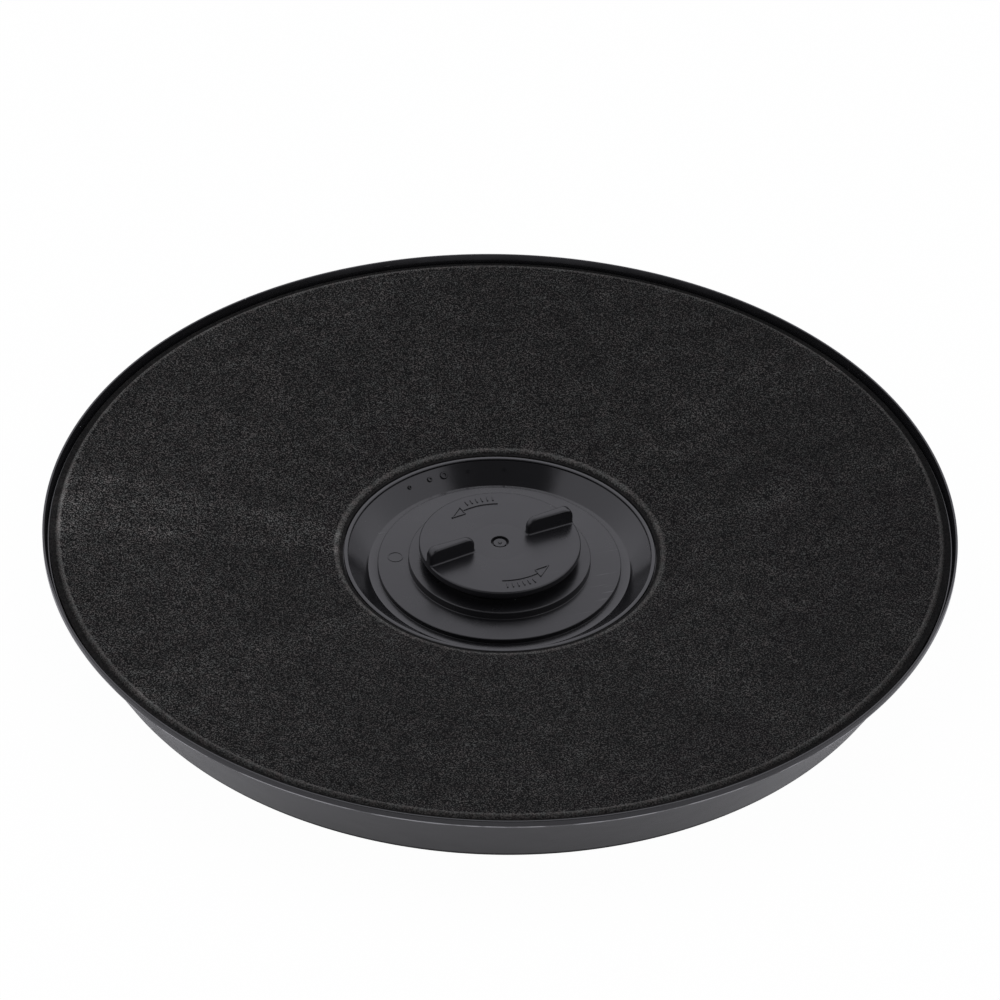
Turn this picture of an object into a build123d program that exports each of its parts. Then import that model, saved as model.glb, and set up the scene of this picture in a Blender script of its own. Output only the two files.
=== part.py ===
from build123d import *
import math
import os

# Round carbon filter for a cooker hood, lying on its back with the felt face up.
# Millimetres. The origin is the middle of the base plane and +Z is the filter's axis.
# X points right and Y away from someone who faces the grip with its wings as in WING_ANGLE.

# Casing, outside
RIM_DIAMETER = 265.0
OVERALL_HEIGHT = 23.0
WALL = 2.2
WALL_TAPER = 11.0
LIP_WIDTH = 1.5
LIP_TOP_WIDTH = 0.6
LIP_HEIGHT = 2.3
LIP_OVERHANG = 1.0
LIP_DEPTH = 3.2
FOOT_WIDTH = 3.2
FOOT_HEIGHT = 1.2
GRILLE_THICKNESS = 2.0

# Casing, the well in the middle that holds the turning grip
MOUTH_DIAMETER = 88.4
WELL_DIAMETER = 77.4
INNER_LAND_HEIGHT = 9.0
HUB_WALL = 1.8
LEDGE_HEIGHT = 4.5
STEP_DIAMETER = 71.6
STEP_HEIGHT = 6.1
PLINTH_DIAMETER = 53.2
PLINTH_HEIGHT = 8.2
FLOOR_THICKNESS = 1.8
SLEEVE_WALL = 2.1

# Casing, webs and back grille
WEB_COUNT = 7
WEB_THICKNESS = 1.6
WEB_CLEARANCE = 0.3
WEB_ANGLE = 29.0
SLOT_WIDTH = 3.0
SLOT_RING_GAP = 3.0
SLOTS_PER_BAY = (7, 12)
SLOT_MARGIN = 2.6

# Felt cover and carbon charge
FELT_THICKNESS = 2.0
PRESSED_THICKNESS = 0.8
PRESSED_WIDTH = 2.3
FELT_CREST_ROUND = 0.8
FELT_EDGE_GAP = 0.3
CHARGE_GAP = 0.3

# Turning grip
GRIP_DIAMETER = 47.2
GRIP_DISC_THICKNESS = 2.1
GRIP_TOP_HEIGHT = 13.3
SKIRT_DIAMETER = 41.0
SKIRT_WALL = 1.8
SEAT_GAP = 0.1
SPINDLE_DIAMETER = 16.0
SPINDLE_WALL = 2.2
RUNNING_FIT = 0.05
DIMPLE_DIAMETER = 4.8
DIMPLE_DEPTH = 0.8
PIP_DIAMETER = 1.0
PIP_HEIGHT = 0.4

# Wings of the grip
WING_ANGLE = 28.5
WING_HEIGHT = 5.1
WING_INNER_RADIUS = 8.6
WING_INNER_THICKNESS = 2.0
WING_OUTER_THICKNESS = 3.2
WING_CORNER_ROUND = 2.2

# Bayonet lugs, the way they go in through the casing, and the stops of the turn
TURN = 90.0
LUG_RADIUS = 13.5
LUG_WIDTH = 6.0
LUG_THICKNESS = 2.0
LUG_CLEAR_OF_BASE = 0.3
KEYWAY_CLEARANCE = 0.4
KEYWAY_ANGLE = 163.5
STOP_TAB_RADIUS = 17.0
STOP_TAB_THICKNESS = 2.0
STOP_TAB_WIDTH = 3.0
STOP_TAB_REACH = 0.6
STOP_SLOT_CLEARANCE = 0.4

# Places that follow from the sizes above
rim_r = RIM_DIAMETER / 2
lip_bottom = OVERALL_HEIGHT - LIP_HEIGHT
wall_top_r = rim_r - LIP_OVERHANG
base_r = wall_top_r - WALL_TAPER
wall_slope = WALL_TAPER / lip_bottom
wall_across = WALL * math.hypot(1, wall_slope)
outer_land = OVERALL_HEIGHT - LIP_DEPTH
grille_top = FOOT_HEIGHT + GRILLE_THICKNESS

mouth_r = MOUTH_DIAMETER / 2
well_r = WELL_DIAMETER / 2
hub_slope = (mouth_r - well_r) / (INNER_LAND_HEIGHT - LEDGE_HEIGHT)
hub_across = HUB_WALL * math.hypot(1, hub_slope)
step_r = STEP_DIAMETER / 2
plinth_r = PLINTH_DIAMETER / 2
bore_r = SPINDLE_DIAMETER / 2 + RUNNING_FIT
step_underside = STEP_HEIGHT - FLOOR_THICKNESS
plinth_underside = PLINTH_HEIGHT - FLOOR_THICKNESS


def wall_inside(z):
    """Radius of the side wall's inner face at height z."""
    return base_r + wall_slope * z - wall_across


def hub_outside(z):
    """Radius of the hub wall's face on the carbon's side at height z."""
    return mouth_r + hub_across - hub_slope * (INNER_LAND_HEIGHT - z)


outer_land_r = wall_inside(outer_land)
inner_land_r = hub_outside(INNER_LAND_HEIGHT)
dish_slope = (outer_land - INNER_LAND_HEIGHT) / (outer_land_r - inner_land_r)


def felt_underside(r):
    """Height of the felt's lower face, which is dished from the rim down to the hub."""
    return INNER_LAND_HEIGHT + dish_slope * (r - inner_land_r)


def section(points):
    """A closed face in the XZ plane from points (radius, height)."""
    return make_face(Plane.XZ * Polyline(*points, close=True))


def rounded(face, corners, radius):
    """The face with the corners at the given (radius, height) points rounded."""
    near = [min(face.vertices(), key=lambda v, c=c: math.hypot(v.X - c[0], v.Z - c[1])) for c in corners]
    return fillet(near, radius)


def turned(face):
    """The solid that a section makes when it is turned about the axis."""
    return revolve(face, Axis.Z, 360)


def upright(face, bottom, top):
    """A plan face at height 0, made into a solid between two heights."""
    return Pos(0, 0, bottom) * extrude(face, top - bottom)


def ring_sector(inner_r, outer_r, start, sweep):
    """A plan face between two radii, from one angle through a sweep, in degrees."""
    a = math.radians(start)
    b = math.radians(start + sweep)
    inner = CenterArc((0, 0), inner_r, start, sweep)
    outer = CenterArc((0, 0), outer_r, start, sweep)
    first = Line((inner_r * math.cos(a), inner_r * math.sin(a)), (outer_r * math.cos(a), outer_r * math.sin(a)))
    last = Line((inner_r * math.cos(b), inner_r * math.sin(b)), (outer_r * math.cos(b), outer_r * math.sin(b)))
    return make_face([inner, outer, first, last])


# The casing is one moulding: lip, tapering wall, foot ring, back plate and stepped hub
casing_points = [
    (bore_r, step_underside),
    (bore_r + SLEEVE_WALL, step_underside),
    (bore_r + SLEEVE_WALL, plinth_underside),
    (plinth_r - FLOOR_THICKNESS, plinth_underside),
    (plinth_r - FLOOR_THICKNESS, step_underside),
    (step_r - FLOOR_THICKNESS, step_underside),
    (step_r - FLOOR_THICKNESS, LEDGE_HEIGHT - FLOOR_THICKNESS),
    (well_r, LEDGE_HEIGHT - FLOOR_THICKNESS),
    (well_r, FOOT_HEIGHT),
    (base_r - FOOT_WIDTH, FOOT_HEIGHT),
    (base_r - FOOT_WIDTH, 0),
    (base_r, 0),
    (wall_top_r, lip_bottom),
    (rim_r, lip_bottom),
    (rim_r, OVERALL_HEIGHT),
    (rim_r - LIP_TOP_WIDTH, OVERALL_HEIGHT),
    (rim_r - LIP_WIDTH, outer_land),
    (outer_land_r, outer_land),
    (wall_inside(grille_top), grille_top),
    (hub_outside(grille_top), grille_top),
    (inner_land_r, INNER_LAND_HEIGHT),
    (mouth_r, INNER_LAND_HEIGHT),
    (well_r, LEDGE_HEIGHT),
    (step_r, LEDGE_HEIGHT),
    (step_r, STEP_HEIGHT),
    (plinth_r, STEP_HEIGHT),
    (plinth_r, PLINTH_HEIGHT),
    (bore_r, PLINTH_HEIGHT),
]
casing_face = section(casing_points)
lip_corners = [(rim_r, OVERALL_HEIGHT), (rim_r - LIP_TOP_WIDTH, OVERALL_HEIGHT)]
casing_face = rounded(casing_face, lip_corners, LIP_TOP_WIDTH / 3)
casing_face = rounded(casing_face, [(mouth_r, INNER_LAND_HEIGHT)], HUB_WALL / 4)
casing_face = rounded(casing_face, [(plinth_r, PLINTH_HEIGHT)], FLOOR_THICKNESS / 6)
casing = turned(casing_face)

# Radial webs stand on the back plate just under the felt; their top edges follow its dish
web_root = FOOT_HEIGHT + GRILLE_THICKNESS / 2
web_inner_r = inner_land_r - hub_across / 3
web_outer_r = outer_land_r + wall_across / 3
web_points = [
    (web_inner_r, felt_underside(web_inner_r) - WEB_CLEARANCE),
    (web_outer_r, felt_underside(web_outer_r) - WEB_CLEARANCE),
    (wall_inside(web_root) + wall_across / 3, web_root),
    (hub_outside(web_root) - hub_across / 3, web_root),
]
web = extrude(section(web_points), WEB_THICKNESS / 2, both=True)
bay = 360 / WEB_COUNT
casing += [Rot(0, 0, WEB_ANGLE + i * bay) * web for i in range(WEB_COUNT)]

# Back grille: rings of radial slots, narrower than the carbon pellets
slots_inner_r = hub_outside(grille_top) + SLOT_MARGIN + hub_across
slots_outer_r = wall_inside(grille_top) - SLOT_MARGIN
slot_rings = len(SLOTS_PER_BAY)
slot_length = (slots_outer_r - slots_inner_r - SLOT_RING_GAP * (slot_rings - 1)) / slot_rings
slots = []
for ring, per_bay in enumerate(SLOTS_PER_BAY):
    slot_r = slots_inner_r + slot_length / 2 + ring * (slot_length + SLOT_RING_GAP)
    slot = Box(slot_length, SLOT_WIDTH, 3 * GRILLE_THICKNESS)
    slot = Pos(slot_r, 0, FOOT_HEIGHT + GRILLE_THICKNESS / 2) * slot
    for i in range(WEB_COUNT * per_bay):
        slots.append(Rot(0, 0, WEB_ANGLE + (i + 0.5) * bay / per_bay) * slot)
casing -= slots

# Keyway across the bore, through which the lugs go in when the grip is fitted
keyway_length = 2 * (LUG_RADIUS + KEYWAY_CLEARANCE)
keyway_width = LUG_WIDTH + 2 * KEYWAY_CLEARANCE
keyway_height = PLINTH_HEIGHT - step_underside + 2
keyway = Pos(0, 0, (PLINTH_HEIGHT + step_underside) / 2) * Box(keyway_length, keyway_width, keyway_height)
casing -= Rot(0, 0, KEYWAY_ANGLE) * keyway

# Two curved slots stop the grip at each end of its turn
stop_start = WING_ANGLE + 90
tab_half = math.degrees(math.asin(STOP_TAB_WIDTH / 2 / (STOP_TAB_RADIUS - STOP_TAB_THICKNESS / 2)))
slack = math.degrees(STOP_SLOT_CLEARANCE / (STOP_TAB_RADIUS - STOP_TAB_THICKNESS / 2))
stop_slot_face = ring_sector(
    STOP_TAB_RADIUS - STOP_TAB_THICKNESS / 2 - STOP_SLOT_CLEARANCE,
    STOP_TAB_RADIUS + STOP_TAB_THICKNESS / 2 + STOP_SLOT_CLEARANCE,
    stop_start - tab_half - slack,
    TURN + 2 * (tab_half + slack),
)
stop_slot = upright(stop_slot_face, plinth_underside - 1, PLINTH_HEIGHT + 1)
casing -= [stop_slot, Rot(0, 0, 180) * stop_slot]

# Felt cover: a dished ring of fleece with pressed margins that lie on the two lands
felt_outer_r = rim_r - LIP_WIDTH - FELT_EDGE_GAP
felt_inner_r = mouth_r + HUB_WALL / 4
outer_press_r = felt_outer_r - PRESSED_WIDTH
inner_press_r = felt_inner_r + PRESSED_WIDTH
crest_rise = FELT_THICKNESS - PRESSED_THICKNESS
felt_points = [
    (felt_inner_r, INNER_LAND_HEIGHT),
    (inner_land_r, INNER_LAND_HEIGHT),
    (outer_land_r, outer_land),
    (felt_outer_r, outer_land),
    (felt_outer_r, outer_land + PRESSED_THICKNESS),
    (outer_press_r, outer_land + PRESSED_THICKNESS),
    (outer_press_r - crest_rise / 2, felt_underside(outer_press_r - crest_rise / 2) + FELT_THICKNESS),
    (inner_press_r + crest_rise / 2, felt_underside(inner_press_r + crest_rise / 2) + FELT_THICKNESS),
    (inner_press_r, INNER_LAND_HEIGHT + PRESSED_THICKNESS),
    (felt_inner_r, INNER_LAND_HEIGHT + PRESSED_THICKNESS),
]
felt_face = section(felt_points)
felt_face = rounded(felt_face, [felt_points[6], felt_points[7]], FELT_CREST_ROUND)
felt_cover = turned(felt_face)

# Carbon charge: one bed of pellets in each bay between two webs
charge_points = [
    (hub_outside(grille_top) + CHARGE_GAP * math.hypot(1, hub_slope), grille_top),
    (wall_inside(grille_top) - CHARGE_GAP * math.hypot(1, wall_slope), grille_top),
    (outer_land_r - 2 * CHARGE_GAP, felt_underside(outer_land_r - 2 * CHARGE_GAP) - CHARGE_GAP),
    (inner_land_r + 2 * CHARGE_GAP, felt_underside(inner_land_r + 2 * CHARGE_GAP) - CHARGE_GAP),
]
charge_ring = turned(section(charge_points))
web_gap = Pos(rim_r / 2, 0, OVERALL_HEIGHT / 2) * Box(rim_r, WEB_THICKNESS + 2 * CHARGE_GAP, 2 * OVERALL_HEIGHT)
charges = charge_ring - [Rot(0, 0, WEB_ANGLE + i * bay) * web_gap for i in range(WEB_COUNT)]


def bay_angle(solid):
    """Angle of a bed's middle, counted round from the first web."""
    middle = solid.center()
    return (math.degrees(math.atan2(middle.Y, middle.X)) - WEB_ANGLE) % 360


beds = sorted(charges.solids(), key=bay_angle)

# Turning grip, one moulding: disc, skirt, hollow spindle, wings, stop tabs and lugs
grip_r = GRIP_DIAMETER / 2
disc_underside = GRIP_TOP_HEIGHT - GRIP_DISC_THICKNESS
skirt_bottom = PLINTH_HEIGHT + SEAT_GAP
spindle_r = SPINDLE_DIAMETER / 2
lug_bottom = LUG_CLEAR_OF_BASE
grip_points = [
    (0, disc_underside),
    (spindle_r - SPINDLE_WALL, disc_underside),
    (spindle_r - SPINDLE_WALL, lug_bottom),
    (spindle_r, lug_bottom),
    (spindle_r, disc_underside),
    (SKIRT_DIAMETER / 2 - SKIRT_WALL, disc_underside),
    (SKIRT_DIAMETER / 2 - SKIRT_WALL, skirt_bottom),
    (SKIRT_DIAMETER / 2, skirt_bottom),
    (SKIRT_DIAMETER / 2, disc_underside),
    (grip_r, disc_underside),
    (grip_r, GRIP_TOP_HEIGHT),
    (DIMPLE_DIAMETER / 2, GRIP_TOP_HEIGHT),
    (DIMPLE_DIAMETER / 2, GRIP_TOP_HEIGHT - DIMPLE_DEPTH),
    (PIP_DIAMETER / 2, GRIP_TOP_HEIGHT - DIMPLE_DEPTH),
    (PIP_DIAMETER / 2, GRIP_TOP_HEIGHT - DIMPLE_DEPTH + PIP_HEIGHT),
    (0, GRIP_TOP_HEIGHT - DIMPLE_DEPTH + PIP_HEIGHT),
]
grip_face = rounded(section(grip_points), [(grip_r, GRIP_TOP_HEIGHT)], GRIP_DISC_THICKNESS / 4)
grip_face = rounded(grip_face, [(grip_r, disc_underside)], GRIP_DISC_THICKNESS / 8)
turn_grip = turned(grip_face)

# Each wing is a wedge in plan, flush with the disc's edge, with rounded corners
wing_rooted = GRIP_TOP_HEIGHT - GRIP_DISC_THICKNESS / 2
wing_top = GRIP_TOP_HEIGHT + WING_HEIGHT
wing_plan = make_face(Polyline(
    (WING_INNER_RADIUS, -WING_INNER_THICKNESS / 2),
    (grip_r + 1, -WING_OUTER_THICKNESS / 2),
    (grip_r + 1, WING_OUTER_THICKNESS / 2),
    (WING_INNER_RADIUS, WING_INNER_THICKNESS / 2),
    close=True,
))
wing_plan = fillet(wing_plan.vertices().sort_by(Axis.X)[:2], WING_INNER_THICKNESS * 0.4)
wing_side_face = section([
    (WING_INNER_RADIUS, wing_rooted),
    (grip_r, wing_rooted),
    (grip_r, wing_top),
    (WING_INNER_RADIUS, wing_top),
])
wing_side_face = rounded(wing_side_face, [(grip_r, wing_top), (WING_INNER_RADIUS, wing_top)], WING_CORNER_ROUND)
wing_side = extrude(wing_side_face, WING_OUTER_THICKNESS, both=True)
wing_limit = upright(Circle(grip_r - GRIP_DISC_THICKNESS / 8), wing_rooted, wing_top)
wing = upright(wing_plan, wing_rooted, wing_top) & wing_side & wing_limit
turn_grip += [Rot(0, 0, WING_ANGLE) * wing, Rot(0, 0, WING_ANGLE + 180) * wing]

# Lugs below the casing, in line with the wings
lug_reach = upright(Circle(LUG_RADIUS) - Circle(spindle_r - SPINDLE_WALL / 2), lug_bottom, lug_bottom + LUG_THICKNESS)
lug_bar = Pos(0, 0, lug_bottom + LUG_THICKNESS / 2) * Box(3 * LUG_RADIUS, LUG_WIDTH, 2 * LUG_THICKNESS)
turn_grip += Rot(0, 0, WING_ANGLE) * (lug_reach & lug_bar)

# Stop tabs hang from the disc into the curved slots
tab = Box(STOP_TAB_THICKNESS, STOP_TAB_WIDTH, disc_underside - plinth_underside + STOP_TAB_REACH + 0.5)
tab = Pos(STOP_TAB_RADIUS, 0, (disc_underside + 0.5 + plinth_underside - STOP_TAB_REACH) / 2) * tab
turn_grip += [Rot(0, 0, stop_start) * tab, Rot(0, 0, stop_start + 180) * tab]

export_step(casing, "parts/casing.step")
export_step(felt_cover, "parts/felt_cover.step")
export_step(turn_grip, "parts/turn_grip.step")
for number, bed in enumerate(beds, 1):
    export_step(bed, f"parts/carbon_charge_{number}.step")
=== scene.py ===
import math
import random

import bmesh
import bpy
from mathutils import Matrix, Vector, noise


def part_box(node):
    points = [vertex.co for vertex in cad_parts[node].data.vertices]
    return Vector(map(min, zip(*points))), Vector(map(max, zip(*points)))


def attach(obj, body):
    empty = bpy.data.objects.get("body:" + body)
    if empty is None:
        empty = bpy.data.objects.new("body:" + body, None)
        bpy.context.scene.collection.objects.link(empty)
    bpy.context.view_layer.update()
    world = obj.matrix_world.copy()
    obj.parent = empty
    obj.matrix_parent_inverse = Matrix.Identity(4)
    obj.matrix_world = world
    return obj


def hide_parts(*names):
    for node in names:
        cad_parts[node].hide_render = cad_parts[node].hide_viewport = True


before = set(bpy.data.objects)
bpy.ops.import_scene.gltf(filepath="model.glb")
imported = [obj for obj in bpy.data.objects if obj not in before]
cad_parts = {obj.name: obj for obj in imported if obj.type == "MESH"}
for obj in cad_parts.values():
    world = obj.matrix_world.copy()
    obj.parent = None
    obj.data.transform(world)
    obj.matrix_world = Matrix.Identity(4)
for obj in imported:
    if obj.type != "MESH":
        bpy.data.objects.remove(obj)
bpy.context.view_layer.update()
MM = 0.001
rng = random.Random(7)

# Casing, in millimetres
rim_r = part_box("casing")[1].x / MM
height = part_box("casing")[1].z / MM
WALL = 2.2
WALL_TAPER = 11.0
LIP_WIDTH = 1.5
LIP_TOP_WIDTH = 0.6
LIP_HEIGHT = 2.3
LIP_OVERHANG = 1.0
LIP_DEPTH = 3.2
FOOT_WIDTH = 3.2
FOOT_HEIGHT = 1.2
FOOT_FACE = 0.75
GRILLE_THICKNESS = 2.0
MOUTH_R = 44.2
WELL_R = 38.3
INNER_LAND = 9.0
HUB_WALL = 1.8
BEAD_OUTER_R = 45.6
BEAD_TOP = 9.7
BEAD_OUTER_LEAN = 0.1
BEAD_INNER_LEAN = 0.15
LEDGE = 4.15
STEP_R = 35.6
STEP_TOP = 5.75
PLINTH_R = 26.6
PLINTH_TOP = 8.2
FLOOR = 1.8
SLEEVE_WALL = 2.1
BORE_R = 8.05
WEB_COUNT = 7
WEB_THICKNESS = 1.6
WEB_CLEARANCE = 0.3
WEB_ANGLE = 29.0
SLOT_WIDTH = 3.0
SLOT_ROUND = 0.6
SLOT_RING_GAP = 3.0
SLOTS_PER_BAY = (7, 12)
SLOT_MARGIN = 2.6

lip_bottom = height - LIP_HEIGHT
wall_top_r = rim_r - LIP_OVERHANG
base_r = wall_top_r - WALL_TAPER
wall_slope = WALL_TAPER / lip_bottom
wall_across = WALL * math.hypot(1, wall_slope)
outer_land = height - LIP_DEPTH
grille_top = FOOT_HEIGHT + GRILLE_THICKNESS
step_underside = STEP_TOP - FLOOR
plinth_underside = PLINTH_TOP - FLOOR
hub_slope = (MOUTH_R - WELL_R) / (INNER_LAND - LEDGE)
hub_across = HUB_WALL * math.hypot(1, hub_slope)
bay = 360 / WEB_COUNT


def wall_inside(z):
    return base_r + wall_slope * z - wall_across


def hub_outside(z):
    return MOUTH_R + hub_across - hub_slope * (INNER_LAND - z)


outer_land_r = wall_inside(outer_land)
inner_land_r = hub_outside(INNER_LAND)
dish_slope = (outer_land - INNER_LAND) / (outer_land_r - inner_land_r)


def felt_underside(r):
    return INNER_LAND + dish_slope * (r - inner_land_r)


slots_inner_r = hub_outside(grille_top) + SLOT_MARGIN + hub_across
slots_outer_r = wall_inside(grille_top) - SLOT_MARGIN
plate_in = slots_inner_r - SLOT_MARGIN / 2
plate_out = slots_outer_r + SLOT_MARGIN / 2

# Round marks on the side of the well: angle in degrees, radius
WELL_MARKS = ((130.3, 0.55), (120.5, 0.7), (114.2, 1.0), (103.8, 0.4), (89.0, 0.4))
# How far up the well's side they stand, and where the ring mark is on its floor
WELL_MARK_SHARE = 0.66
RING_MARK = (-30.5, 1.0)

# Felt
FELT = 2.0
PRESSED = 0.8
PRESSED_WIDTH = 2.3
INNER_PRESSED_WIDTH = 1.2
PRESS_BLEND = 0.4
OUTER_CREST_R = 128.0
INNER_CREST_R = 47.7
CREST_RISE = 0.12
CREST_SPREAD = 0.6
OUTER_THINNING = 0.3
INNER_THINNING = 0.6
THINNING_REACH = 8.0
FELT_EDGE_GAP = 0.3
FELT_BEAD_GAP = 0.15
FELT_EDGE_ROUND = 0.15
# Soft unevenness: rise, size across, layer of the noise
FELT_WAVES = ((0.16, 9.0, 0), (0.10, 2.4, 5))
felt_outer_r = rim_r - LIP_WIDTH - FELT_EDGE_GAP
felt_inner_r = BEAD_OUTER_R + FELT_BEAD_GAP
outer_press = felt_outer_r - PRESSED_WIDTH
inner_press = felt_inner_r + INNER_PRESSED_WIDTH

# Pellets
PELLET_R = 2.0
PELLET_LENGTHS = (4.2, 6.2)
PELLET_PITCH = 6.0
PELLET_RING_STEP = 4.3
PELLET_ROOM = 3.2
PELLET_GAP = 0.35
CORE_LIFT = 3.0
CORE_WEB_GAP = 1.3

# Grip
grip_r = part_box("turn_grip")[1].x / MM
wing_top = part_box("turn_grip")[1].z / MM
lug_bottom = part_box("turn_grip")[0].z / MM
WING_HEIGHT = 5.1
grip_top = wing_top - WING_HEIGHT
DISC = 2.1
disc_underside = grip_top - DISC
SKIRT_R = 20.5
SKIRT_WALL = 1.8
SEAT_GAP = 0.1
SPINDLE_R = 8.0
SPINDLE_WALL = 2.2
DIP_R = 8.3
DIMPLE_R = 2.4
DIMPLE_DEPTH = 0.8
PIP_R = 0.4
WING_ANGLE = 28.5
WING_INNER = 8.6
WING_INNER_HALF = 1.0
WING_OUTER_HALF = 1.6
WING_CORNER = 2.8
WING_FOOT_ROUND = 0.45
WING_TOP_ROUND = 0.6
WING_RIM_GAP = 0.12
WING_DRAFT = 0.02
WING_ROOT = 0.6
MARK_RISE = 0.22
MARK_ROOT = 0.1
LUG_R = 13.5
LUG_WIDTH = 6.0
LUG_THICKNESS = 2.0
KEYWAY_ANGLE = 163.5
KEYWAY_CLEARANCE = 0.4
TAB_R = 17.0
TAB_THICKNESS = 2.0
TAB_WIDTH = 3.0
TAB_REACH = 0.6
STOP_CLEARANCE = 0.4
# Degrees that the grip turns, and that a stop slot runs past the tab's middle at each end
TURN = 90.0
STOP_PLAY = 7.0

SHARP_ANGLE = 38
MERGE_DISTANCE = 0.004


# Mesh helpers

def circle(radius, count):
    """Plan points once round a circle about the axis."""
    angles = [2 * math.pi * k / count for k in range(count)]
    return [(radius * math.cos(a), radius * math.sin(a)) for a in angles]


def arc(radius, start, end, count):
    """Plan points on a part of a circle about the axis, angles in degrees."""
    angles = [math.radians(start + (end - start) * k / (count - 1)) for k in range(count)]
    return [(radius * math.cos(a), radius * math.sin(a)) for a in angles]


def polar(r, degrees):
    return (r * math.cos(math.radians(degrees)), r * math.sin(math.radians(degrees)))


def oblong(start, end, half, rounding=0):
    """Corners (across, up, rounding) of a box in plan that lies along the first axis."""
    return [(start, -half, rounding), (end, -half, rounding), (end, half, rounding), (start, half, rounding)]


def filleted(corners, steps=5):
    """Points of a closed outline, from corners (across, up, rounding)."""
    points = []
    for i, (x, y, rounding) in enumerate(corners):
        here = Vector((x, y))
        if rounding == 0:
            points.append((x, y))
            continue
        back = (Vector(corners[i - 1][:2]) - here).normalized()
        ahead = (Vector(corners[(i + 1) % len(corners)][:2]) - here).normalized()
        half = back.angle(ahead) / 2
        centre = here + (back + ahead).normalized() * rounding / math.sin(half)
        start = here + back * rounding / math.tan(half) - centre
        end = here + ahead * rounding / math.tan(half) - centre
        turn = math.atan2(start.x * end.y - start.y * end.x, start.dot(end))
        for k in range(steps + 1):
            p = centre + Matrix.Rotation(turn * k / steps, 2) @ start
            points.append((p.x, p.y))
    return points


def revolved(bm, outline, segments):
    """A closed outline of (radius, height) turned about the axis, into bm."""
    rings = []
    for x, y in circle(1, segments):
        rings.append([bm.verts.new((r * x * MM, r * y * MM, z * MM)) for r, z in outline])
    for s, ring in enumerate(rings):
        after = rings[(s + 1) % segments]
        for i in range(len(outline)):
            j = (i + 1) % len(outline)
            bm.faces.new((ring[i], after[i], after[j], ring[j]))


def lofted(bm, outlines, cap_last=True):
    """Closed outlines of 3-D points in millimetres, joined in order into bm."""
    rings = [[bm.verts.new(Vector(p) * MM) for p in outline] for outline in outlines]
    for low, high in zip(rings, rings[1:]):
        for i in range(len(low)):
            j = (i + 1) % len(low)
            bm.faces.new((low[i], low[j], high[j], high[i]))
    bm.faces.new(list(reversed(rings[0])))
    if cap_last:
        bm.faces.new(rings[-1])


def prism(bm, plan, bottom, top, turn=0.0, soften=0.0):
    """An upright piece from a plan outline, turned about the axis, with its top edge softened."""
    spin = Matrix.Rotation(math.radians(turn), 3, "Z")
    middle = Vector((sum(p[0] for p in plan) / len(plan), sum(p[1] for p in plan) / len(plan), 0))
    levels = [(bottom, 0.0)]
    if soften:
        for k in range(4):
            a = math.pi / 2 * k / 3
            levels.append((top - soften + soften * math.sin(a), soften * (1 - math.cos(a))))
    else:
        levels.append((top, 0.0))
    outlines = []
    for z, inset in levels:
        ring = []
        for x, y in plan:
            away = Vector((x, y, 0)) - middle
            p = middle + away * max(0.0, 1 - inset / max(away.length, 1e-6))
            ring.append(spin @ Vector((p.x, p.y, z)))
        outlines.append(ring)
    lofted(bm, outlines)


def piece(name, bm, body, material, sharp=SHARP_ANGLE):
    """Turns bm into a named object that rides on a body of the frame."""
    bmesh.ops.remove_doubles(bm, verts=bm.verts, dist=MERGE_DISTANCE * MM)
    bmesh.ops.recalc_face_normals(bm, faces=bm.faces)
    mesh = bpy.data.meshes.new(name)
    bm.to_mesh(mesh)
    bm.free()
    mesh.shade_smooth()
    mesh.set_sharp_from_angle(angle=math.radians(sharp))
    obj = bpy.data.objects.new(name, mesh)
    bpy.context.scene.collection.objects.link(obj)
    mesh.materials.append(material)
    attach(obj, body)
    return obj


def cut(obj, cutter_bm):
    """Takes the closed forms in cutter_bm out of obj."""
    bmesh.ops.recalc_face_normals(cutter_bm, faces=cutter_bm.faces)
    mesh = bpy.data.meshes.new("cutter")
    cutter_bm.to_mesh(mesh)
    cutter_bm.free()
    cutter = bpy.data.objects.new("cutter", mesh)
    bpy.context.scene.collection.objects.link(cutter)
    cutting = obj.modifiers.new("cut", "BOOLEAN")
    cutting.operation = "DIFFERENCE"
    cutting.solver = "EXACT"
    cutting.object = cutter
    graph = bpy.context.evaluated_depsgraph_get()
    result = bpy.data.meshes.new_from_object(obj.evaluated_get(graph))
    obj.modifiers.clear()
    obj.data = result
    result.shade_smooth()
    result.set_sharp_from_angle(angle=math.radians(SHARP_ANGLE))
    bpy.data.objects.remove(cutter)


# Node helpers

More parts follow.
